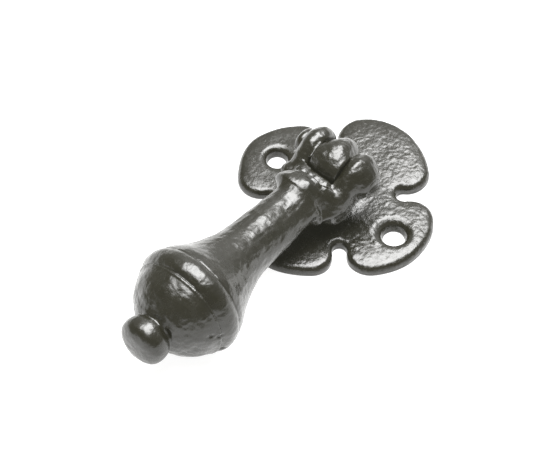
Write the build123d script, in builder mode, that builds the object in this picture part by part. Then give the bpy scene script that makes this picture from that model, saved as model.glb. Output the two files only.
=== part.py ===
from build123d import *
import os
from math import sin, cos, radians, sqrt, atan2

# Cast-iron drop pull: a four-lobed backplate (rose) with a round knuckle in its
# middle, a forked pendant handle that hangs astride the knuckle, and the riveted
# pin they turn on.
#
# Frame: the rose lies on its back. The origin is the centre of the rose's back
# face, +Z comes out of the rose towards the hand, the pendant hangs along -Y and
# the pin lies along X. The bulb of the pendant rests on the same surface as the
# rose (Z = 0).

# ---------------------------------------------------------------- rose (plate)
rose_half = 25.6            # centre to the end of a lobe
rose_thick = 3.1
lobe_end_r = 15.8           # large arc across the end of a lobe
lobe_corner_r = 5.5         # arc at each shoulder of a lobe
lobe_arc_half = 43.4        # half angle swept by the end arc, degrees
flank_angle = 48.9          # direction of a lobe's flank, degrees
notch_r = 1.77              # round bottom of the notch between two lobes
rose_top_round = 0.9
rose_back_round = 0.3

# ------------------------------------------------------------- screw holes
hole_x = 18.2               # a hole in the left lobe and one in the right lobe
hole_d = 5.2
csk_d = 7.4
csk_angle = 90

# ------------------------------------------------------------- knuckle
knuckle_x = 0.5             # the knuckle stands a little off the middle of the rose
pin_z = 15.2                # height of the pin over the back face
knuckle_r = 6.5             # ball of the knuckle
knuckle_half = 3.85         # half its width along the pin
stem_y = 8.8                # stem under the ball, along Y
stem_x = 7.2
stem_foot_round = 1.8
pin_d = 4.0
bore_clear = 0.05           # radial running clearance of the pin in the knuckle

# ------------------------------------------------------------- pendant
axis_z = 13.95              # height of the pendant's own axis
fork_half = 9.2             # half width over the two ears
slot_half = 4.05            # half width of the slot between the ears
ear_r = 5.4                 # round end of an ear, about the pin
crotch_r = 7.15             # hollow at the root of the slot, about the pin
stem_pass = 5.3             # the slot is open past the stem, above and below
yoke_y = 8.3                # middle of the yoke that carries the ears
yoke_r = 3.4
crotch_round = 0.6          # rounded inside corners of the slot's root
knuckle_round = 0.9         # rounded edges of the knuckle's two flats
edge_round = 2.0
# Turned outline of the pendant: distance from the pin line, radius.
back_s = 9.4                # the turned body starts inside the yoke
bead_s, bead_r = 12.4, 7.7          # bead under the fork, half its width
bead_flat = 0.76                    # height of the bead over its width
shank_r = 5.4                       # round shank inside the bead
hollow = (16.2, 5.5)                # in the hollow under the bead
waist = (20.0, 5.55)                # the thinnest part of the neck
neck = [(26.0, 6.03), (32.0, 6.45), (38.0, 7.5), (44.0, 9.8), (47.2, 11.7)]
collar_s0, collar_s1 = 49.0, 55.0   # the collar bead, between its two creases
collar_edge_r = 12.75               # radius at the crease behind the collar
collar_s, collar_r = 51.5, 13.86
shoulder_r = 12.3                   # radius at the crease in front of the collar
dome = [(58.2, 11.35), (60.3, 9.9), (62.2, 7.9)]
groove_s, groove_r = 64.2, 4.9      # groove between dome and ball
ball_s, ball_r = 67.0, 6.12         # middle of the ball
nose_s, nose_r = 69.3, 4.7          # where the ball's flatter nose begins
tip_s = 70.5                        # the pendant's end

# ------------------------------------------------------------- pin
head_r = 3.3
head_seat = 1.7             # straight edge of a head before its dome
head_rise = 2.05            # how far a head stands off the ear


def lobe_points():
    """Corner points and arc midpoints of one lobe (pointing along +X)."""
    xo = rose_half - lobe_end_r
    a1, ps = radians(lobe_arc_half), radians(flank_angle)
    k = lobe_end_r - lobe_corner_r
    c = (xo + k * cos(a1), k * sin(a1))
    e = (xo + lobe_end_r * cos(a1), lobe_end_r * sin(a1))
    am = (a1 + ps + radians(90)) / 2
    cm = (c[0] + lobe_corner_r * cos(am), c[1] + lobe_corner_r * sin(am))
    af = ps + radians(90)
    n = (cos(af), sin(af))
    f = (c[0] + lobe_corner_r * n[0], c[1] + lobe_corner_r * n[1])
    m = (notch_r + f[0] * n[0] + f[1] * n[1]) / (n[0] + n[1])
    t = (m - notch_r * n[0], m - notch_r * n[1])
    b = (m - notch_r / sqrt(2), m - notch_r / sqrt(2))
    return e, cm, f, t, b


def cap_mid(x0, r0, tip_x):
    """Middle of a spherical cap's arc from (x0, r0) to its pole (tip_x, 0)."""
    h = tip_x - x0
    rad = (r0 * r0 + h * h) / (2 * h)
    a = atan2(r0, rad - h) / 2
    return tip_x - rad + rad * cos(a), rad * sin(a)


def turn(p, k):
    a = radians(90 * k)
    return (p[0] * cos(a) - p[1] * sin(a), p[0] * sin(a) + p[1] * cos(a))


e, cm, f, t, b = lobe_points()
low = lambda p: (p[0], -p[1])

with BuildPart() as backplate:
    with BuildSketch(Plane.XY):
        with BuildLine():
            for k in range(4):
                q = lambda p: turn(p, k)
                ThreePointArc(q(low(e)), q((rose_half, 0)), q(e))
                ThreePointArc(q(e), q(cm), q(f))
                Line(q(f), q(t))
                nxt = turn(low(t), k + 1)
                ThreePointArc(q(t), q(b), nxt)
                Line(nxt, turn(low(f), k + 1))
                ThreePointArc(turn(low(f), k + 1), turn(low(cm), k + 1), turn(low(e), k + 1))
        make_face()
    extrude(amount=rose_thick)
    fillet(backplate.faces().sort_by(Axis.Z)[-1].outer_wire().edges(), rose_top_round)
    fillet(backplate.faces().sort_by(Axis.Z)[0].outer_wire().edges(), rose_back_round)
    # stem of the knuckle, with a swept foot where it grows out of the rose
    with BuildSketch(Plane.XY.offset(rose_thick - 0.5)):
        with Locations((knuckle_x, 0)):
            RectangleRounded(stem_x, stem_y, 2.4)
    extrude(amount=pin_z - rose_thick + 0.5)
    foot = backplate.edges().filter_by(
        lambda ed: abs(ed.center().Z - rose_thick) < 0.01
        and abs(ed.center().X) < 5 and abs(ed.center().Y) < 6)
    fillet(foot, stem_foot_round)
    # ball of the knuckle, flat on the two sides that face the ears
    with BuildPart(Plane.XY, mode=Mode.PRIVATE) as ball_part:
        with Locations((knuckle_x, 0, pin_z)):
            Sphere(knuckle_r)
            Box(2 * knuckle_half, 4 * knuckle_r, 4 * knuckle_r, mode=Mode.INTERSECT)
        fillet(ball_part.edges().filter_by(GeomType.CIRCLE), knuckle_round)
    add(ball_part.part)
    # screw holes, sunk on the front
    with Locations((-hole_x, 0, rose_thick), (hole_x, 0, rose_thick)):
        CounterSinkHole(radius=hole_d / 2, counter_sink_radius=csk_d / 2,
                        counter_sink_angle=csk_angle)
    # bore for the pin
    with Locations(Location((knuckle_x, 0, pin_z), (0, 90, 0))):
        Hole(radius=pin_d / 2 + bore_clear, depth=2 * fork_half)

with BuildPart() as drop_handle:
    # turned body, from the ring bead to the tip of the ball
    with BuildSketch(Plane.YZ.offset(knuckle_x)):
        with BuildLine():
            pt = lambda s, r: (-s, axis_z + r)
            Polyline(pt(back_s, 0), pt(back_s, 3.4), pt(11.2, shank_r),
                     pt(13.5, shank_r + 0.15))
            Spline(pt(13.5, shank_r + 0.15), pt(*hollow), pt(*waist),
                   tangents=[(-1, -0.1), (-1, 0.06)])
            Spline(pt(*waist), *[pt(*p) for p in neck], pt(collar_s0, collar_edge_r),
                   tangents=[(-1, 0.06), (-1, 0.62)])
            ThreePointArc(pt(collar_s0, collar_edge_r), pt(collar_s, collar_r),
                          pt(collar_s1, shoulder_r))
            Spline(pt(collar_s1, shoulder_r), *[pt(*p) for p in dome],
                   pt(groove_s, groove_r), tangents=[(-1, 0.1), (-0.8, -1)])
            ThreePointArc(pt(groove_s, groove_r), pt(ball_s, ball_r), pt(nose_s, nose_r))
            ThreePointArc(pt(nose_s, nose_r), pt(*cap_mid(nose_s, nose_r, tip_s)),
                          pt(tip_s, 0))
            Line(pt(tip_s, 0), pt(back_s, 0))
        make_face()
    revolve(axis=Axis((knuckle_x, 0, axis_z), (0, 1, 0)))
    # bead under the fork: turned, then pressed flatter than it is wide
    with BuildPart(mode=Mode.PRIVATE) as bead:
        with BuildSketch(Plane.YZ):
            with BuildLine():
                Polyline((-10.0, 0), (-10.0, 4.6), (-10.6, 6.9))
                ThreePointArc((-10.6, 6.9), (-bead_s, bead_r), (-14.2, 6.8))
                Polyline((-14.2, 6.8), (-16.0, 5.3), (-16.0, 0), (-10.0, 0))
            make_face()
        revolve(axis=Axis.Y)
    pressed = scale(bead.part, by=(1, 1, bead_flat), mode=Mode.PRIVATE)
    add(pressed.moved(Location((knuckle_x, 0, axis_z))))
    # the yoke and the two ears
    with BuildPart(mode=Mode.PRIVATE) as fork:
        with BuildSketch(Plane.YZ.offset(knuckle_x)):
            with Locations((0, pin_z)):
                Circle(ear_r)
            with Locations((-yoke_y, axis_z)):
                Circle(yoke_r)
            make_hull()
        extrude(amount=fork_half, both=True)
        fillet(fork.faces().sort_by(Axis.X)[0].outer_wire().edges(), edge_round)
        fillet(fork.faces().sort_by(Axis.X)[-1].outer_wire().edges(), edge_round)
    add(fork.part)
    # slot between the ears, hollowed round the knuckle at its root
    with BuildPart(Plane.XY, mode=Mode.PRIVATE) as slot:
        with Locations(Location((knuckle_x, 0, pin_z), (0, 90, 0))):
            Cylinder(crotch_r, 2 * slot_half)
        fillet(slot.edges().filter_by(GeomType.CIRCLE), crotch_round)
        with Locations((knuckle_x, 10 - stem_pass, pin_z)):
            Box(2 * slot_half, 20, 4 * crotch_r)
    add(slot.part, mode=Mode.SUBTRACT)
    # the pin is a tight fit in the two ears
    with BuildPart(Plane.XY, mode=Mode.PRIVATE) as ear_bore:
        with Locations(Location((knuckle_x, 0, pin_z), (0, 90, 0))):
            Cylinder(pin_d / 2, 4 * fork_half)
    add(ear_bore.part, mode=Mode.SUBTRACT)

with BuildPart() as pivot_pin:
    with BuildSketch(Plane.XZ):
        with BuildLine():
            xe = fork_half
            seat, pole = xe + head_seat, xe + head_rise
            mx, mr = cap_mid(seat, head_r, pole)
            up = lambda x, r: (knuckle_x + x, pin_z + r)
            ThreePointArc(up(pole, 0), up(mx, mr), up(seat, head_r))
            Polyline(up(seat, head_r), up(xe, head_r), up(xe, pin_d / 2),
                     up(-xe, pin_d / 2), up(-xe, head_r), up(-seat, head_r))
            ThreePointArc(up(-seat, head_r), up(-mx, mr), up(-pole, 0))
            Line(up(-pole, 0), up(pole, 0))
        make_face()
    revolve(axis=Axis((0, 0, pin_z), (1, 0, 0)))

os.makedirs("parts", exist_ok=True)
for name, piece in (("backplate", backplate), ("drop_handle", drop_handle),
                    ("pivot_pin", pivot_pin)):
    piece.part.label = name
    export_step(piece.part, f"parts/{name}.step")
    bb = piece.part.bounding_box()
    print(name, "solids", len(piece.part.solids()), "volume", round(piece.part.volume, 1),
          "box", [round(v, 2) for v in (*bb.min, *bb.max)])
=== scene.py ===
import math

import bpy
import numpy as np
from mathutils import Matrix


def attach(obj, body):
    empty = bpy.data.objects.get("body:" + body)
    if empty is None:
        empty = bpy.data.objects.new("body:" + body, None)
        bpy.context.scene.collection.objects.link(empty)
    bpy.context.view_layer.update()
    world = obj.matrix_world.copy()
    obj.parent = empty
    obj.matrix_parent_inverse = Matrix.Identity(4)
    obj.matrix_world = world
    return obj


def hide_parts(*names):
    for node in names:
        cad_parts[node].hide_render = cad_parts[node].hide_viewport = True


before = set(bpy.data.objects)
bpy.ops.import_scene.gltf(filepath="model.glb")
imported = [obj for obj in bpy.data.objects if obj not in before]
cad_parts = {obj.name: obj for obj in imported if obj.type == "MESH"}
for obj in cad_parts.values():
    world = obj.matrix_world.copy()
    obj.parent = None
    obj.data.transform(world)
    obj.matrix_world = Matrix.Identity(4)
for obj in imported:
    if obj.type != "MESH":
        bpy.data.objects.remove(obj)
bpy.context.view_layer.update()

MM = 0.001
GRID = 0.22     # spacing of the sculpting grid, mm


# ---------------------------------------------------------------------------
# Small sculpting kit: distance fields in millimetres, turned into closed meshes
# ---------------------------------------------------------------------------
def smin(a, b, k):
    """Union of two shapes, blended over k millimetres."""
    h = np.clip(0.5 + 0.5 * (b - a) / k, 0.0, 1.0)
    return b * (1 - h) + a * h - k * h * (1 - h)


def smax(a, b, k):
    return -smin(-a, -b, k)


def perlin(p, seed):
    """Gradient noise at the points p (n x 3), about -0.7 to 0.7."""
    rng = np.random.RandomState(seed)
    perm = rng.permutation(256)
    perm = np.r_[perm, perm]
    g = rng.normal(size=(256, 3))
    g /= np.linalg.norm(g, axis=1)[:, None]
    pi = np.floor(p).astype(np.int64)
    f = p - pi
    u = f * f * f * (f * (f * 6 - 15) + 10)
    pi &= 255
    out = np.zeros(len(p))
    for dx in (0, 1):
        for dy in (0, 1):
            for dz in (0, 1):
                i = perm[perm[perm[(pi[:, 0] + dx) & 255] + ((pi[:, 1] + dy) & 255)]
                         + ((pi[:, 2] + dz) & 255)]
                d = (g[i] * (f - np.array([dx, dy, dz]))).sum(1)
                w = ((u[:, 0] if dx else 1 - u[:, 0])
                     * (u[:, 1] if dy else 1 - u[:, 1])
                     * (u[:, 2] if dz else 1 - u[:, 2]))
                out += w * d
    return out


def noise(p, size, seed):
    """Noise whose lumps are about size millimetres across, about -1 to 1."""
    q = np.asarray(p, float) / size + np.array([seed * 3.17, seed * 1.93, seed * 7.31])
    return 1.5 * perlin(q, seed)


def seg_distance(px, py, poly, closed=True):
    """Signed distance to a closed polygon, negative inside."""
    a = poly
    b = np.roll(poly, -1, axis=0) if closed else poly[1:]
    if not closed:
        a = poly[:-1]
    shape = px.shape
    px, py = px.ravel(), py.ravel()
    best = np.full(px.shape, 1e9)
    inside = np.zeros(px.shape, bool)
    for (ax, ay), (bx, by) in zip(a, b):
        ex, ey = bx - ax, by - ay
        wx, wy = px - ax, py - ay
        t = np.clip((wx * ex + wy * ey) / (ex * ex + ey * ey + 1e-12), 0, 1)
        d = (wx - t * ex) ** 2 + (wy - t * ey) ** 2
        np.minimum(best, d, out=best)
        if ay != by:
            c = (ay > py) != (by > py)
            xi = ax + (py - ay) * ex / ey
            inside ^= c & (px < xi)
    d = np.sqrt(best)
    d[inside] *= -1
    return d.reshape(shape)


class Grid:
    def __init__(self, lo, hi, h):
        self.lo, self.h = np.array(lo, float), h
        self.n = np.ceil((np.array(hi) - self.lo) / h).astype(int) + 1
        self.x = (self.lo[0] + h * np.arange(self.n[0])).astype(np.float32)[:, None, None]
        self.y = (self.lo[1] + h * np.arange(self.n[1])).astype(np.float32)[None, :, None]
        self.z = (self.lo[2] + h * np.arange(self.n[2])).astype(np.float32)[None, None, :]

    def sample(self, F, p):
        """Trilinear values of F at points p."""
        q = (p - self.lo) / self.h
        i = np.clip(np.floor(q).astype(int), 0, self.n - 2)
        f = q - i
        out = 0
        for dx in (0, 1):
            for dy in (0, 1):
                for dz in (0, 1):
                    w = ((f[:, 0] if dx else 1 - f[:, 0]) * (f[:, 1] if dy else 1 - f[:, 1])
                         * (f[:, 2] if dz else 1 - f[:, 2]))
                    out = out + w * F[i[:, 0] + dx, i[:, 1] + dy, i[:, 2] + dz]
        return out

    def gradient(self, F, p):
        e = 0.5 * self.h
        g = np.stack([self.sample(F, p + e * v) - self.sample(F, p - e * v)
                      for v in np.eye(3)], 1) / (2 * e)
        return g


def surface_net(grid, F):
    """Closed quad mesh of F = 0 (negative inside)."""
    s = F < 0
    n = grid.n
    corners = [(dx, dy, dz) for dx in (0, 1) for dy in (0, 1) for dz in (0, 1)]
    cells = n - 1
    cnt = np.zeros(cells, np.uint8)
    for dx, dy, dz in corners:
        cnt += s[dx:dx + cells[0], dy:dy + cells[1], dz:dz + cells[2]]
    act = (cnt > 0) & (cnt < 8)
    idx = np.full(cells, -1, np.int64)
    ijk = np.argwhere(act)
    idx[act] = np.arange(len(ijk))
    acc = np.zeros((len(ijk), 3))
    num = np.zeros(len(ijk))
    for a in range(3):
        for b in (0, 1):
            for c in (0, 1):
                o = [0, 0, 0]
                o[(a + 1) % 3], o[(a + 2) % 3] = b, c
                p0 = ijk + np.array(o)
                p1 = p0.copy(); p1[:, a] += 1
                f0 = F[p0[:, 0], p0[:, 1], p0[:, 2]].astype(float)
                f1 = F[p1[:, 0], p1[:, 1], p1[:, 2]].astype(float)
                m = (f0 < 0) != (f1 < 0)
                t = f0[m] / (f0[m] - f1[m])
                q = np.tile(np.array(o, float), (int(m.sum()), 1))
                q[:, a] += t
                acc[m] += q
                num[m] += 1
    verts = grid.lo + grid.h * (ijk + acc / num[:, None])
    quads = []
    for a in range(3):
        b, c = (a + 1) % 3, (a + 2) % 3
        sl0 = [slice(None)] * 3; sl1 = [slice(None)] * 3
        sl0[a], sl1[a] = slice(0, -1), slice(1, None)
        e = s[tuple(sl0)] != s[tuple(sl1)]
        at = np.argwhere(e)
        at = at[(at[:, b] > 0) & (at[:, c] > 0) & (at[:, b] < n[b] - 1) & (at[:, c] < n[c] - 1)]
        inside_first = s[at[:, 0], at[:, 1], at[:, 2]]
        def cell(db, dc):
            k = at.copy(); k[:, b] -= db; k[:, c] -= dc
            return idx[k[:, 0], k[:, 1], k[:, 2]]
        q = np.stack([cell(1, 1), cell(0, 1), cell(0, 0), cell(1, 0)], 1)
        q[~inside_first] = q[~inside_first][:, ::-1]
        quads.append(q)
    return verts, np.concatenate(quads)


def sculpt(name, grid, F, skin=None, steps=3):
    """Mesh object of the shape F, its skin pushed out by skin(points, normals) mm."""
    v, q = surface_net(grid, F)
    for _ in range(steps):
        g = grid.gradient(F, v)
        m2 = (g * g).sum(1)
        d = grid.sample(F, v)
        step = np.clip(d / np.maximum(m2, 0.2), -0.3 * grid.h, 0.3 * grid.h)
        v = v - step[:, None] * g
    g = grid.gradient(F, v)
    nrm = g / np.maximum(np.linalg.norm(g, axis=1), 1e-6)[:, None]
    if skin is not None:
        v = v + nrm * skin(v, nrm)[:, None]
    me = bpy.data.meshes.new(name)
    v = np.ascontiguousarray(v * MM, dtype=np.float32)
    me.vertices.add(len(v))
    me.vertices.foreach_set("co", v.ravel())
    me.loops.add(4 * len(q))
    me.loops.foreach_set("vertex_index", q.astype(np.int32).ravel())
    me.polygons.add(len(q))
    me.polygons.foreach_set("loop_start", np.arange(0, 4 * len(q), 4, dtype=np.int32))
    me.update(calc_edges=True)
    me.validate()
    me.shade_smooth()
    ob = bpy.data.objects.new(name, me)
    bpy.context.scene.collection.objects.link(ob)
    return ob


def cubic(points, n, start=None, end=None):
    """Smooth curve through 2-D points (chord-length cubic, given end slopes if any)."""
    P = np.array(points, float)
    t = np.r_[0, np.cumsum(np.sqrt(np.hypot(*np.diff(P, axis=0).T)))]
    m = len(P)
    A = np.zeros((m, m)); R = np.zeros((m, 2)); h = np.diff(t)
    for i in range(1, m - 1):
        A[i, i - 1], A[i, i], A[i, i + 1] = 1 / h[i - 1], 2 * (1 / h[i - 1] + 1 / h[i]), 1 / h[i]
        R[i] = 3 * ((P[i] - P[i - 1]) / h[i - 1] ** 2 + (P[i + 1] - P[i]) / h[i] ** 2)
    if start is None:
        A[0, 0], A[0, 1] = 2, 1; R[0] = 3 * (P[1] - P[0]) / h[0]
    else:
        A[0, 0] = 1; R[0] = np.array(start, float) / np.hypot(*start) * np.sqrt(np.hypot(*(P[1] - P[0])) ) * 1.0
    if end is None:
        A[-1, -1], A[-1, -2] = 2, 1; R[-1] = 3 * (P[-1] - P[-2]) / h[-1]
    else:
        A[-1, -1] = 1; R[-1] = np.array(end, float) / np.hypot(*end) * np.sqrt(np.hypot(*(P[-1] - P[-2]))) * 1.0
    M = np.linalg.solve(A, R)
    out = []
    for i in range(m - 1):
        u = np.linspace(0, 1, n, endpoint=i == m - 2)[:, None]
        h00, h10 = 2 * u**3 - 3 * u**2 + 1, u**3 - 2 * u**2 + u
        h01, h11 = -2 * u**3 + 3 * u**2, u**3 - u**2
        out.append(h00 * P[i] + h10 * h[i] * M[i] + h01 * P[i + 1] + h11 * h[i] * M[i + 1])
    return np.concatenate(out)


def arc3(a, b, c, n=24):
    """Points of the arc from a through b to c."""
    a, b, c = (np.array(p, float) for p in (a, b, c))
    A = 2 * np.array([b - a, c - a])
    B = np.array([b @ b - a @ a, c @ c - a @ a])
    o = np.linalg.solve(A, B)
    r = np.linalg.norm(a - o)
    ang = [math.atan2(*(p - o)[::-1]) for p in (a, b, c)]
    for i in (1, 2):
        while ang[i] - ang[i - 1] > math.pi: ang[i] -= 2 * math.pi
        while ang[i] - ang[i - 1] < -math.pi: ang[i] += 2 * math.pi
    t = np.linspace(ang[0], ang[2], n)
    return np.c_[o[0] + r * np.cos(t), o[1] + r * np.sin(t)]


# ---------------------------------------------------------------------------
# Sizes shared with the CAD model, millimetres
# ---------------------------------------------------------------------------
KX, PZ = 0.5, 15.2            # knuckle offset and pin height
AXZ = 13.95                   # height of the pendant's axis
ROSE_T = 3.1
HOLE_X = 18.2


def rose_outline():
    R, Ro, rc, a1, ps, rn = 25.6, 15.8, 5.5, math.radians(43.4), math.radians(48.9), 1.77
    xo, k = R - Ro, Ro - rc
    c = np.array([xo + k * math.cos(a1), k * math.sin(a1)])
    t = np.linspace(-a1, a1, 60)
    end = np.c_[xo + Ro * np.cos(t), Ro * np.sin(t)]
    t = np.linspace(a1, ps + math.pi / 2, 30)
    sh = np.c_[c[0] + rc * np.cos(t), c[1] + rc * np.sin(t)]
    nrm = np.array([math.cos(ps + math.pi / 2), math.sin(ps + math.pi / 2)])
    f = c + rc * nrm
    m = (rn + f @ nrm) / (nrm[0] + nrm[1])
    t = np.linspace(ps - math.pi / 2, -3 * math.pi / 4, 20)
    no = np.c_[m + rn * np.cos(t), m + rn * np.sin(t)]
    up = np.concatenate([sh[1:], no])
    down = up[::-1] * [1, -1]
    lobe = np.concatenate([down[1:], end, up])
    out = []
    for i in range(4):
        a = i * math.pi / 2
        rot = np.array([[math.cos(a), math.sin(a)], [-math.sin(a), math.cos(a)]])
        out.append(lobe @ rot)
    return np.concatenate(out)


# ---------------------------------------------------------------- backplate
def make_rose():
    g = Grid((-26.6, -26.6, -0.8), (26.6, 26.6, 22.2), GRID)
    X, Y = np.broadcast_arrays(g.x[:, :, 0], g.y[:, :, 0])
    X, Y = X.astype(float), Y.astype(float)
    # no two lobes of the pattern are quite alike: each is drawn out, rounded or turned a little
    mx, my = X.copy(), Y.copy()
    for cx, cy, dx, dy, spread in ((-8.0, 23.0, -0.4, 1.3, 6.0), (2.0, 25.0, 0.1, 0.4, 6.0),
                                   (9.5, 19.0, 0.7, -0.2, 4.5), (13.0, 11.5, 0.45, -0.5, 5.0),
                                   (9.5, -20.5, -0.5, 0.65, 6.0), (-25.5, -1.0, -1.1, 0.0, 3.8),
                                   (15.0, -13.0, -0.2, -0.45, 4.0)):
        w = np.exp(-((X - cx) ** 2 + (Y - cy) ** 2) / (2 * spread ** 2))
        mx -= dx * w
        my -= dy * w
    P2 = np.c_[X.ravel(), Y.ravel(), np.zeros(X.size)]
    # the outline of a hand-made pattern wanders a little
    wob = (0.16 * noise(P2, 9.0, 11)).reshape(X.shape)
    d2 = seg_distance(mx, my, rose_outline()) + wob
    d2 = d2[:, :, None].astype(np.float32)
    rt, rb, mid = 1.35, 0.35, 1.3

    def rounded(d, dz, r):
        a, b = d + r, dz + r
        return np.minimum(np.maximum(a, b), 0) + np.hypot(np.maximum(a, 0), np.maximum(b, 0)) - r
    # the face is dished round the foot, each lobe is crowned and rolls over towards its rim
    rr = np.hypot(g.x, g.y)
    t = np.clip((rr - 5) / 9, 0, 1)
    top = (ROSE_T - 0.15 + 0.36 * t * t * (3 - 2 * t)
           - (0.0028 - 0.0008 * np.clip(g.x / 15, -1, 1)) * np.maximum(rr - 12, 0) ** 2
           - 0.0026 * g.x ** 2 * g.y ** 2 / (rr ** 2 + 1) - 0.35 * np.clip(1 + d2 / 3.2, 0, 1) ** 2)
    up = rounded(d2, g.z - top, rt)
    dn = rounded(d2, -g.z, rb)
    F = np.where(g.z > mid, up, dn)
    # stem and foot
    ax, ay = np.abs(g.x - KX) - (3.5 - 2.3), np.abs(g.y) - (4.2 - 2.3)
    stem = np.hypot(np.maximum(ax, 0), np.maximum(ay, 0)) + np.minimum(np.maximum(ax, ay), 0) - 2.3
    stem = np.maximum(stem, g.z - (PZ - 0.5))
    stem = np.maximum(stem, 1.0 - g.z)
    F = np.maximum(smin(F, stem, 3.4), -g.z)            # the back stays flat
    # barrel of the knuckle between two flats, fuller on the side of the handle
    kx = g.x - KX
    rho = np.hypot(g.y, g.z - PZ)
    lean = np.clip((-g.y * 0.75 + (g.z - PZ) * 0.45) / np.maximum(rho, 1e-3), 0, 1)
    barrel = rho - (6.4 + 0.5 * lean ** 2 - (0.21 - 0.195 * lean) * kx ** 2)
    barrel = smax(0.96 * barrel, np.abs(kx) - 3.97, 0.35)
    F = smin(F, barrel, 0.7)
    # bore for the pin
    bore = np.hypot(g.y, g.z - PZ) - 2.08
    bore = np.maximum(bore, np.abs(g.x - KX) - 6)
    F = smax(F, -bore, 0.25)
    # cast screw holes with soft lips
    for hx, hy, r0, taper, lip in ((0.5 - HOLE_X, -0.8, 2.15, 0.22, 1.1),
                                   (HOLE_X - 0.15, 0.2, 2.42, 0.33, 0.9)):
        r = np.hypot(g.x - hx, g.y - hy)
        hole = r - (r0 + taper * np.clip(g.z, 0, 3.2)
                    + lip * np.clip((g.z - 1.9) / 1.2, 0, 1.3) ** 2)
        F = smax(F, -0.85 * hole, 0.5)
    F = F.astype(np.float32)

    def skin(v, n):
        side = np.clip(v[:, 2] / 0.8, 0, 1)                  # the back face stays flat
        near = np.clip((np.hypot(v[:, 1], v[:, 2] - PZ) - 2.6) / 1.0, 0, 1)
        knob = np.clip((v[:, 2] - 6.0) / 2.0, 0, 1)          # knuckle: finer, shallower skin
        # the sand left more grain on two of the lobes than on the others
        grit = 0.25 + 0.75 * np.clip((v[:, 0] + v[:, 1] + 9) / 14, 0, 1)
        rough = (0.13 * noise(v, 7.0, 21) + 0.05 * noise(v, 3.4, 28)
                 + grit * (0.034 * noise(v, 2.0, 22) + 0.046 * noise(v, 1.2, 23)
                           + 0.042 * noise(v, 0.72, 24)))
        fine = (0.05 * noise(v, 3.2, 25) + 0.085 * noise(v, 1.5, 26) + 0.05 * noise(v, 0.85, 27))
        flat = np.abs(n[:, 0]) > 0.9
        d = rough * (1 - knob) + fine * knob
        d[(knob > 0) & flat] *= 0.3
        return d * side * near
    return sculpt("rose_casting", g, F, skin)


# ---------------------------------------------------------------- pendant
def pendant_profile():
    bead = arc3((10.4, 6.5), (12.3, 7.5), (14.3, 6.5), 30)
    neck = cubic([(14.3, 6.5), (15.9, 5.6), (20, 5.55), (26, 6.05), (32, 6.6), (38, 7.9),
                  (44, 10.35), (47.4, 12.35), (49.25, 13.1)], 24)
    collar = np.concatenate([
        [(49.42, 13.0), (49.58, 13.1)],
        arc3((49.68, 13.18), (51.6, 13.88), (54.55, 12.76), 40),
        [(54.75, 12.42), (54.95, 12.2), (55.1, 12.42), (55.3, 12.72), (55.6, 12.62)]])
    dome = cubic([(55.9, 12.38), (56.5, 12.14), (58.2, 11.35), (60.3, 9.9), (62.2, 7.9),
                  (63.3, 6.5), (63.8, 5.85)], 24)
    ball = np.concatenate([
        [(64.05, 5.45), (64.3, 5.3), (64.5, 5.42)],
        cubic([(64.6, 5.6), (65.6, 6.0), (67.0, 6.12), (68.5, 5.7), (69.6, 4.5), (70.25, 2.65),
               (70.45, 0)], 20, end=(0.02, -1))])
    prof = np.concatenate([[(9.4, 0), (9.4, 6.2)], bead, neck[1:], collar, dome[1:], ball])
    # mirrored below the axis so that the field is smooth on it
    low = prof[::-1] * [1, -1]
    return np.concatenate([prof, low[1:-1]])


# knocks and pits: centre, half sizes, depth
DENTS = [((11.9, -57.2, 15.9), (1.1, 0.8, 0.45), 0.5), ((12.9, -55.6, 14.9), (1.1, 0.9, 0.45), 0.45),
         ((12.4, -54.0, 8.2), (0.9, 0.6, 0.9), 0.7), ((10.25, -57.35, 20.56), (0.35, 0.35, 0.35), -0.16),
         ((5.2, -64.0, 17.2), (0.9, 0.5, 0.9), 0.4), ((1.6, -63.6, 19.6), (1.0, 0.4, 0.6), 0.35),
         ((9.5, -60.5, 13.0), (1.2, 0.5, 0.8), 0.3), ((-5.2, -67.4, 16.2), (0.5, 0.5, 0.7), 0.4)]


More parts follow.
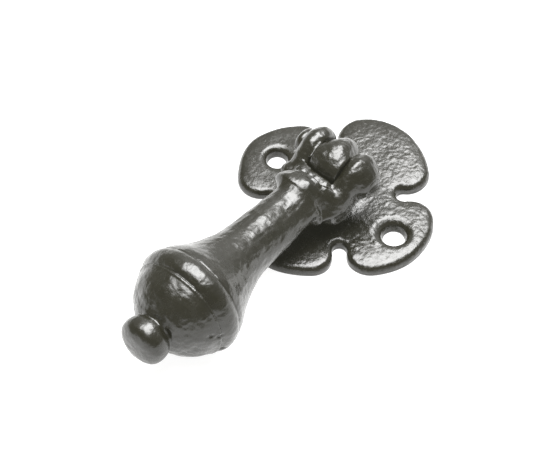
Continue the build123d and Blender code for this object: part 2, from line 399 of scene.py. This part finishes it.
def make_pendant():
    g = Grid((-14.2, -71.6, -0.9), (15.2, 6.6, 28.8), GRID)
    # turned body: its field is worked out once in the half plane
    h2 = 0.1
    S = np.arange(2.0, 76.0, h2); R = np.arange(0.0, 24.0, h2)
    SS, RR = np.meshgrid(S, R, indexing="ij")
    D2 = seg_distance(SS, RR, pendant_profile()).astype(np.float32)
    F = np.full(g.n, 20.0, np.float32)
    for j in range(g.n[1]):
        s = -g.y[0, j, 0]
        if s < 4:
            continue
        # the bead is flatter than it is wide; further down the neck turns round
        flat = 1 + 0.13 * math.exp(-((s - 11.9) / 2.2) ** 2) + 0.11 * min(max((26 - s) / 10, 0), 1)
        # the bead sits to the left, and the bulb hangs a little to the right
        cx = KX - 0.75 * math.exp(-((s - 12.0) / 2.2) ** 2)
        t = min(max((s - 30) / 18, 0), 1)
        cx += 0.3 * t * t * (3 - 2 * t) - 0.1 * min(max((s - 60) / 6, 0), 1)
        # the neck's crest leans to the left, and the bead dies away on the right
        cx += 0.5 * min(max((34 - s) / 10, 0), 1) * min(max((s - 13) / 3, 0), 1)
        lean = 0.31 * min(max((34 - s) / 14, 0), 1) * min(max((s - 12) / 2, 0), 1)
        x, z = g.x[:, 0, :], g.z[:, 0, :] - AXZ
        rr = np.sqrt((x - cx + lean * np.clip(z, 0, 6)) ** 2 + (z * flat) ** 2)
        t = np.clip((x - KX - 0.5) / 5.0, 0, 1)
        rr = rr + 1.6 * math.exp(-((s - 12.2) / 1.9) ** 2) * t * t * (3 - 2 * t)
        fr = np.clip(rr / h2, 0, len(R) - 1.001)
        ir = np.floor(fr).astype(int); fr = (fr - ir).astype(np.float32)
        k = min(max((s - 2.0) / h2, 0), len(S) - 1.001); i = int(k); f = k - i
        row = D2[i] * (1 - f) + D2[i + 1] * f
        F[:, j, :] = row[ir] * (1 - fr) + row[np.minimum(ir + 1, len(R) - 1)] * fr
    sub = slice(int((-16.5 - g.lo[1]) / g.h), g.n[1])
    x = g.x - KX; y = g.y[:, sub, :]; z = g.z - PZ

    def hull(r1, ey, ez, r2):
        """Side view of an ear: an uneven capsule from the pin to (ey, ez)."""
        L = math.hypot(ey, ez); uy, uz = ey / L, ez / L
        px = np.abs(-uz * y + uy * z)
        py = uy * y + uz * z
        b = (r1 - r2) / L; a = math.sqrt(1 - b * b)
        k = -b * px + a * py
        return np.where(k < 0, np.hypot(px, py) - r1,
                        np.where(k > a * L, np.hypot(px, py - L) - r2, px * a + py * b - r1))
    fork = None
    for side, r1, xc, a_in, a_out, tail in ((-1, 5.75, 6.45, 2.9, 2.95, (-6.3, -2.1, 3.2)),
                                            (1, 5.45, 5.55, 2.3, 3.85, (-5.7, -2.0, 3.4))):
        cap = hull(r1, *tail)
        q = np.maximum((cap + 3.3) / 3.3, 0)
        xs = side * x - xc
        t = np.where(xs > 0, xs / a_out, xs / a_in)
        ear = (np.hypot(q, np.abs(t)) - 1) * 2.8
        fork = ear if fork is None else np.minimum(fork, ear)
    # yoke: a round bar across the root of the ears and the body under it
    def bar(cy, cz, r, half, cx=0.0):
        xe = np.maximum(np.abs(x - cx) - (half - r), 0)
        return np.sqrt((y - cy) ** 2 + (z - cz) ** 2 + xe ** 2) - r
    fork = smin(fork, bar(-8.0, 0.3, 2.3, 5.5, -0.6), 0.9)
    fork = smin(fork, bar(-7.7, -5.2, 4.3, 9.1), 2.6)
    lump = np.sqrt(((x + 7.2) / 1.2) ** 2 + (y + 8.2) ** 2 + (z + 1.9) ** 2) - 2.3
    fork = smin(fork, lump, 0.6)
    # web: the casting slopes away from the corner of the slot into the neck
    web = -0.04 * (x - 4.0) - 0.62 * (y + 7.0) + 0.78 * (z - 1.3)
    web = smax(web, np.abs(x - 4.2) - 4.7, 3.0)
    web = smax(web, np.maximum(np.abs(y + 9.2) - 4.6, -4.2 - z), 2.0)
    fork = smin(fork, web, 1.0)
    # conical boss round the pin on the right-hand ear
    boss = 0.85 * (np.hypot(y, z) - (4.65 - 0.58 * (x - 8.0)))
    boss = smax(boss, np.maximum(x - 11.25, 6.0 - x), 1.3)
    fork = smin(fork, boss, 1.2)
    # slot, hollowed round the knuckle
    sx = np.abs(x) - 4.06
    hollow = np.where(y > -5.3, np.minimum(np.hypot(y, z) - 7.15, -(y + 5.3)),
                      np.hypot(y, z) - 7.15)
    slot = smax(hollow, sx, 0.35)
    # the bead joins the yoke at a tight crease, and melts into it on the right
    k = 0.35 + 3.2 * np.clip((x - 2.0) / 4.0, 0, 1) ** 2 * (3 - 2 * np.clip((x - 2.0) / 4.0, 0, 1))
    F2 = smin(F[:, sub, :], fork, k)
    F2 = smax(F2, -slot, 0.4)
    # fins left by the mould on the inner edges
    def fin(p0, p1, r):
        p0, p1 = np.array(p0, float), np.array(p1, float)
        d = p1 - p0
        t = np.clip(((x - p0[0]) * d[0] + (y - p0[1]) * d[1] + (z - p0[2]) * d[2]) / (d @ d), 0, 1)
        return np.sqrt((x - p0[0] - t * d[0]) ** 2 + (y - p0[1] - t * d[1]) ** 2
                       + (z - p0[2] - t * d[2]) ** 2) - r
    for p0, p1, r in (((-4.42, -1.2, 4.55), (-4.42, -4.6, 3.05), 0.42),
                      ((4.45, 2.2, 4.35), (4.45, -0.2, 4.85), 0.42),
                      ((-4.3, -6.6, 2.0), (-2.6, -7.0, 2.05), 0.4),
                      ((-8.0, -5.6, 1.3), (-4.4, -6.5, 2.0), 0.3)):
        F2 = smin(F2, fin(p0, p1, r), 0.35)
    # holes for the pin
    bore = np.hypot(y, z) - 1.97
    F2 = np.maximum(F2, -bore)
    F[:, sub, :] = F2

    def skin(v, n):
        p = v.copy()
        s = -v[:, 1]
        # long shallow dressing marks on the neck, lumps on the fork, a smoother bulb
        w_fork = 1 - np.clip((s - 12) / 4, 0, 1)
        w_neck = np.clip((s - 13) / 3, 0, 1) * (1 - np.clip((s - 42) / 6, 0, 1))
        w_bulb = np.clip((s - 42) / 6, 0, 1)
        d = 0.06 * noise(p, 7.0, 31)
        long = p * [1.0, 0.55, 1.0]
        d += w_neck * (0.060 * noise(p, 2.6, 32) + 0.075 * noise(long, 1.15, 33)
                       + 0.030 * noise(long, 0.7, 38))
        d += w_fork * (0.11 * noise(p, 3.0, 34) + 0.085 * noise(p, 1.4, 35)
                       + 0.042 * noise(p, 0.8, 39))
        d += w_bulb * (0.11 * noise(p, 4.2, 36) + 0.066 * noise(p, 1.9, 37)
                       + 0.036 * noise(p, 0.95, 40))
        # the foundry left wrinkles where the dome runs into the ball
        crumple = np.clip((s - 59.0) / 3.0, 0, 1) * np.clip((65.2 - s) / 0.8, 0, 1)
        d += crumple * (0.13 * noise(p, 1.9, 43) + 0.05 * noise(p, 0.9, 44))
        # the groove behind the dome is only crisp on top; elsewhere it fills up
        around = np.degrees(np.arctan2(v[:, 0] - KX, v[:, 2] - AXZ))
        crisp = np.clip(1.6 - np.abs(around + 4) / 22.0, 0, 1)
        d += (1 - crisp) * 0.30 * np.exp(-((s - 54.98) / 0.42) ** 2)
        # a chipped edge and a dent low on the right of the collar
        for c, a, depth in DENTS:
            q = ((v - np.array(c)) ** 2 / np.array(a) ** 2).sum(1)
            d -= depth * np.exp(-q)
        inner = (np.abs(v[:, 0] - KX) < 4.2) & (np.hypot(v[:, 1], v[:, 2] - PZ) < 7.4)
        d[inner] *= 0.2
        pin = np.clip((np.hypot(v[:, 1], v[:, 2] - PZ) - 2.2) / 0.8, 0, 1)
        return d * pin
    return sculpt("pendant_casting", g, F, skin)


# ---------------------------------------------------------------- pin
def make_pin():
    h = GRID * 0.6
    g = Grid((-11.6, -4.0, 11.2), (12.6, 4.0, 19.2), h)
    x, y, z = g.x - KX, g.y, g.z - PZ
    r = np.hypot(y, z)
    shaft = np.maximum(r - 1.99, np.abs(x) - 9.6)
    F = shaft + 0 * g.x
    for sgn in (-1, 1):
        xx = x * sgn
        # peened head: a low dome over a straight edge
        R = (3.3 ** 2 + 0.35 ** 2) / (2 * 0.35)
        cap = np.sqrt((xx - (11.45 - R)) ** 2 + r ** 2) - R
        edge = r - (2.75 if sgn > 0 else 3.32)
        back = 8.4 - xx
        head = smax(smax(cap, edge, 1.5), back, 0.3)
        F = np.minimum(F, head)
    F = F.astype(np.float32)

    def skin(v, n):
        out = np.clip((np.abs(v[:, 0] - KX) - 9.4) / 0.4, 0, 1)
        return out * (0.12 * noise(v, 2.4, 41) + 0.05 * noise(v, 1.0, 42))
    return sculpt("rivet_pin", g, F, skin)


# ---------------------------------------------------------------------------
# Materials
# ---------------------------------------------------------------------------
def lacquer(name, coarse, tint):
    """Gloss black lacquer over cast iron: a dark body whose tone and gloss drift,
    pits and grit of the casting printing through, and a hard clear skin."""
    m = bpy.data.materials.new(name)
    m.use_nodes = True
    nt = m.node_tree
    nt.nodes.clear()
    N, Lk = nt.nodes.new, nt.links.new
    out = N("ShaderNodeOutputMaterial")
    b = N("ShaderNodeBsdfPrincipled")
    Lk(b.outputs["BSDF"], out.inputs["Surface"])
    b.inputs["Metallic"].default_value = 0.0
    b.inputs["IOR"].default_value = 1.5
    b.inputs["Specular IOR Level"].default_value = 0.5
    b.inputs["Coat Weight"].default_value = 0.15
    b.inputs["Coat Roughness"].default_value = 0.13
    # painted glow: the lacquer emits a faint light of its own, standing in for stray light, so the deepest
    # shadows stay off pure black
    b.inputs["Emission Color"].default_value = (0.0150, 0.0151, 0.0118, 1)
    b.inputs["Emission Strength"].default_value = 1.0
    b.inputs["Coat IOR"].default_value = 1.5
    co = N("ShaderNodeTexCoord")
    mp = N("ShaderNodeMapping")
    mp.inputs["Scale"].default_value = (1000, 1000, 1000)
    Lk(co.outputs["Object"], mp.inputs["Vector"])

    def tex(scale, detail=3.0, rough=0.55, dist=0.0):
        t = N("ShaderNodeTexNoise")
        t.inputs["Scale"].default_value = scale
        t.inputs["Detail"].default_value = detail
        t.inputs["Roughness"].default_value = rough
        t.inputs["Distortion"].default_value = dist
        Lk(mp.outputs["Vector"], t.inputs["Vector"])
        return t
    # colour: black with slow drifts to warm and cool greys and small dusty specks
    cloud = tex(0.16, 4, 0.6, 0.4)
    ramp = N("ShaderNodeValToRGB")
    e = ramp.color_ramp.elements
    e[0].position, e[0].color = 0.32, (0.0040 * tint[0], 0.0036 * tint[1], 0.0014 * tint[2], 1)
    e[1].position, e[1].color = 0.70, (0.0075 * tint[0], 0.0070 * tint[1], 0.0042 * tint[2], 1)
    Lk(cloud.outputs["Fac"], ramp.inputs["Fac"])
    speck = tex(2.2, 2, 0.5)
    sr = N("ShaderNodeValToRGB")
    sr.color_ramp.elements[0].position, sr.color_ramp.elements[0].color = 0.66, (0, 0, 0, 1)
    sr.color_ramp.elements[1].position, sr.color_ramp.elements[1].color = 0.76, (1, 1, 1, 1)
    Lk(speck.outputs["Fac"], sr.inputs["Fac"])
    mix = N("ShaderNodeMix"); mix.data_type = "RGBA"
    Lk(sr.outputs["Color"], mix.inputs["Factor"])
    Lk(ramp.outputs["Color"], mix.inputs[6])
    mix.inputs[7].default_value = (0.020, 0.018, 0.013, 1)
    Lk(mix.outputs[2], b.inputs["Base Color"])
    # gloss drifts where the lacquer sank into the grit
    rg = tex(0.55, 3, 0.6)
    mr = N("ShaderNodeMapRange")
    mr.inputs["From Min"].default_value, mr.inputs["From Max"].default_value = 0.3, 0.7
    mr.inputs["To Min"].default_value, mr.inputs["To Max"].default_value = 0.17, 0.33
    Lk(rg.outputs["Fac"], mr.inputs["Value"])
    Lk(mr.outputs["Result"], b.inputs["Roughness"])
    # grit, grain and orange peel
    def bump(height, dist, strength, prev=None):
        n = N("ShaderNodeBump")
        n.inputs["Strength"].default_value = strength
        n.inputs["Distance"].default_value = dist
        Lk(height, n.inputs["Height"])
        if prev is not None:
            Lk(prev.outputs["Normal"], n.inputs["Normal"])
        return n
    peel = tex(0.9 if coarse else 0.6, 2, 0.5)
    grain = tex(2.6 if coarse else 1.9, 3, 0.6)
    n1 = bump(peel.outputs["Fac"], 0.00010 if coarse else 0.00010, 1.0)
    n2 = bump(grain.outputs["Fac"], 0.00005 if coarse else 0.000035, 1.0, n1)
    Lk(n2.outputs["Normal"], b.inputs["Normal"])
    Lk(n1.outputs["Normal"], b.inputs["Coat Normal"])
    return m


rose = make_rose()
pendant = make_pendant()
pin = make_pin()
for ob, node, body, slot, mat in (
        (rose, "backplate", "rose", "rose_iron", lacquer("lacquered_rose", True, (1, 1, 1))),
        (pendant, "drop_handle", "pendant", "handle_iron", lacquer("lacquered_pendant", False, (1, 1, 1))),
        (pin, "pivot_pin", "pendant", "pin_iron", lacquer("lacquered_pin", False, (1.1, 1.1, 1.1)))):
    ob.data.materials.append(mat)
    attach(ob, body)
    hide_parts(node)

# ---------------------------------------------------------------------------
# Camera: the reference viewing angle, long lens
# ---------------------------------------------------------------------------
AZ, EL, FPX, SCALE = math.radians(41.44), math.radians(52.53), 3500.0, 4.2
CX, CY = 335.15, 201.6
back = np.array([math.sin(AZ) * math.cos(EL), -math.cos(AZ) * math.cos(EL), math.sin(EL)])
right = np.array([math.cos(AZ), math.sin(AZ), 0.0])
up = np.cross(back, right)
D = FPX / SCALE
loc = D * back - D * ((CX - 277.5) / FPX) * right + D * ((CY - 237.5) / FPX) * up
cam_data = bpy.data.cameras.new("camera")
cam_data.sensor_fit = "HORIZONTAL"
cam_data.sensor_width = 36.0
cam_data.lens = FPX / 555.0 * 36.0
cam_data.clip_start, cam_data.clip_end = 0.01, 20.0
cam = bpy.data.objects.new("camera", cam_data)
bpy.context.scene.collection.objects.link(cam)
from mathutils import Matrix
M = Matrix.Identity(4)
for i in range(3):
    M[i][0], M[i][1], M[i][2], M[i][3] = right[i], up[i], back[i], loc[i] * MM
cam.matrix_world = M
bpy.context.scene.camera = cam

# ---------------------------------------------------------------------------
# Pale floor, soft studio light
# ---------------------------------------------------------------------------
bpy.context.scene.view_settings.view_transform = "Standard"
bpy.context.scene.view_settings.look = "None"

me = bpy.data.meshes.new("floor")
S = 6.0
me.from_pydata([(-S, -S, 0), (S, -S, 0), (S, S, 0), (-S, S, 0)], [], [(0, 1, 2, 3)])
floor = bpy.data.objects.new("floor", me)
bpy.context.scene.collection.objects.link(floor)
fm = bpy.data.materials.new("pale_floor")
fm.use_nodes = True
fb = fm.node_tree.nodes["Principled BSDF"]
fb.inputs["Base Color"].default_value = (0.30, 0.30, 0.30, 1)
fb.inputs["Roughness"].default_value = 0.95
fb.inputs["Specular IOR Level"].default_value = 0.0
fb.inputs["Emission Color"].default_value = (1, 1, 1, 1)
fb.inputs["Emission Strength"].default_value = 0.92
floor.data.materials.append(fm)


def softbox(name, x0, x1, y0, y1, height, radiance, turn=0.0):
    """Level softbox over the table, given by its edges in metres."""
    ld = bpy.data.lights.new(name, "AREA")
    ld.shape = "RECTANGLE"
    ld.size, ld.size_y = x1 - x0, y1 - y0
    ld.energy = radiance * math.pi * (x1 - x0) * (y1 - y0)
    ob = bpy.data.objects.new(name, ld)
    ob.location = ((x0 + x1) / 2, (y0 + y1) / 2, height)
    ob.rotation_euler = (0, 0, math.radians(turn))
    bpy.context.scene.collection.objects.link(ob)
    return ob


# one soft-edged overhead softbox: three sheets, each smaller than the last
softbox("overhead_softbox_rim", -0.52, 0.40, -0.52, 0.96, 1.00, 3.6, -5)
softbox("overhead_softbox_body", -0.45, 0.33, -0.43, 0.88, 1.02, 5.5, -5)
softbox("overhead_softbox_core", -0.36, 0.24, -0.32, 0.78, 1.04, 8.6, -5)

w = bpy.data.worlds.new("studio")
bpy.context.scene.world = w
w.use_nodes = True
nt = w.node_tree
nt.nodes.clear()
wo = nt.nodes.new("ShaderNodeOutputWorld")
bg = nt.nodes.new("ShaderNodeBackground")
tc = nt.nodes.new("ShaderNodeTexCoord")
# dim, slightly warm room on the viewer's side; pale wall behind the table
rp = nt.nodes.new("ShaderNodeValToRGB")
mp = nt.nodes.new("ShaderNodeVectorMath"); mp.operation = "DOT_PRODUCT"
mp.inputs[1].default_value = (-0.22, 0.74, 0.635)
nt.links.new(tc.outputs["Generated"], mp.inputs[0])
mr = nt.nodes.new("ShaderNodeMapRange")
mr.inputs["From Min"].default_value, mr.inputs["From Max"].default_value = -1.0, 1.0
nt.links.new(mp.outputs["Value"], mr.inputs["Value"])
nt.links.new(mr.outputs["Result"], rp.inputs["Fac"])
el = rp.color_ramp.elements
el[0].position, el[0].color = 0.0, (0.33, 0.32, 0.27, 1)
el[1].position, el[1].color = 1.0, (1.6, 1.6, 1.6, 1)
for pos, c in ((0.55, (0.33, 0.32, 0.27, 1)), (0.78, (0.46, 0.46, 0.44, 1)),
               (0.89, (0.58, 0.58, 0.58, 1)), (0.96, (1.1, 1.1, 1.1, 1))):
    k = el.new(pos)
    k.color = c
# brighter close to the table's level
sp = nt.nodes.new("ShaderNodeSeparateXYZ")
nt.links.new(tc.outputs["Generated"], sp.inputs[0])
hz = nt.nodes.new("ShaderNodeMapRange")
hz.inputs["From Min"].default_value, hz.inputs["From Max"].default_value = 0.0, 0.42
hz.inputs["To Min"].default_value, hz.inputs["To Max"].default_value = 0.2, 0.0
nt.links.new(sp.outputs["Z"], hz.inputs["Value"])
ad = nt.nodes.new("ShaderNodeVectorMath"); ad.operation = "ADD"
nt.links.new(rp.outputs["Color"], ad.inputs[0])
nt.links.new(hz.outputs["Result"], ad.inputs[1])
nt.links.new(ad.outputs["Vector"], bg.inputs["Color"])
bg.inputs["Strength"].default_value = 1.0
nt.links.new(bg.outputs[0], wo.inputs["Surface"])
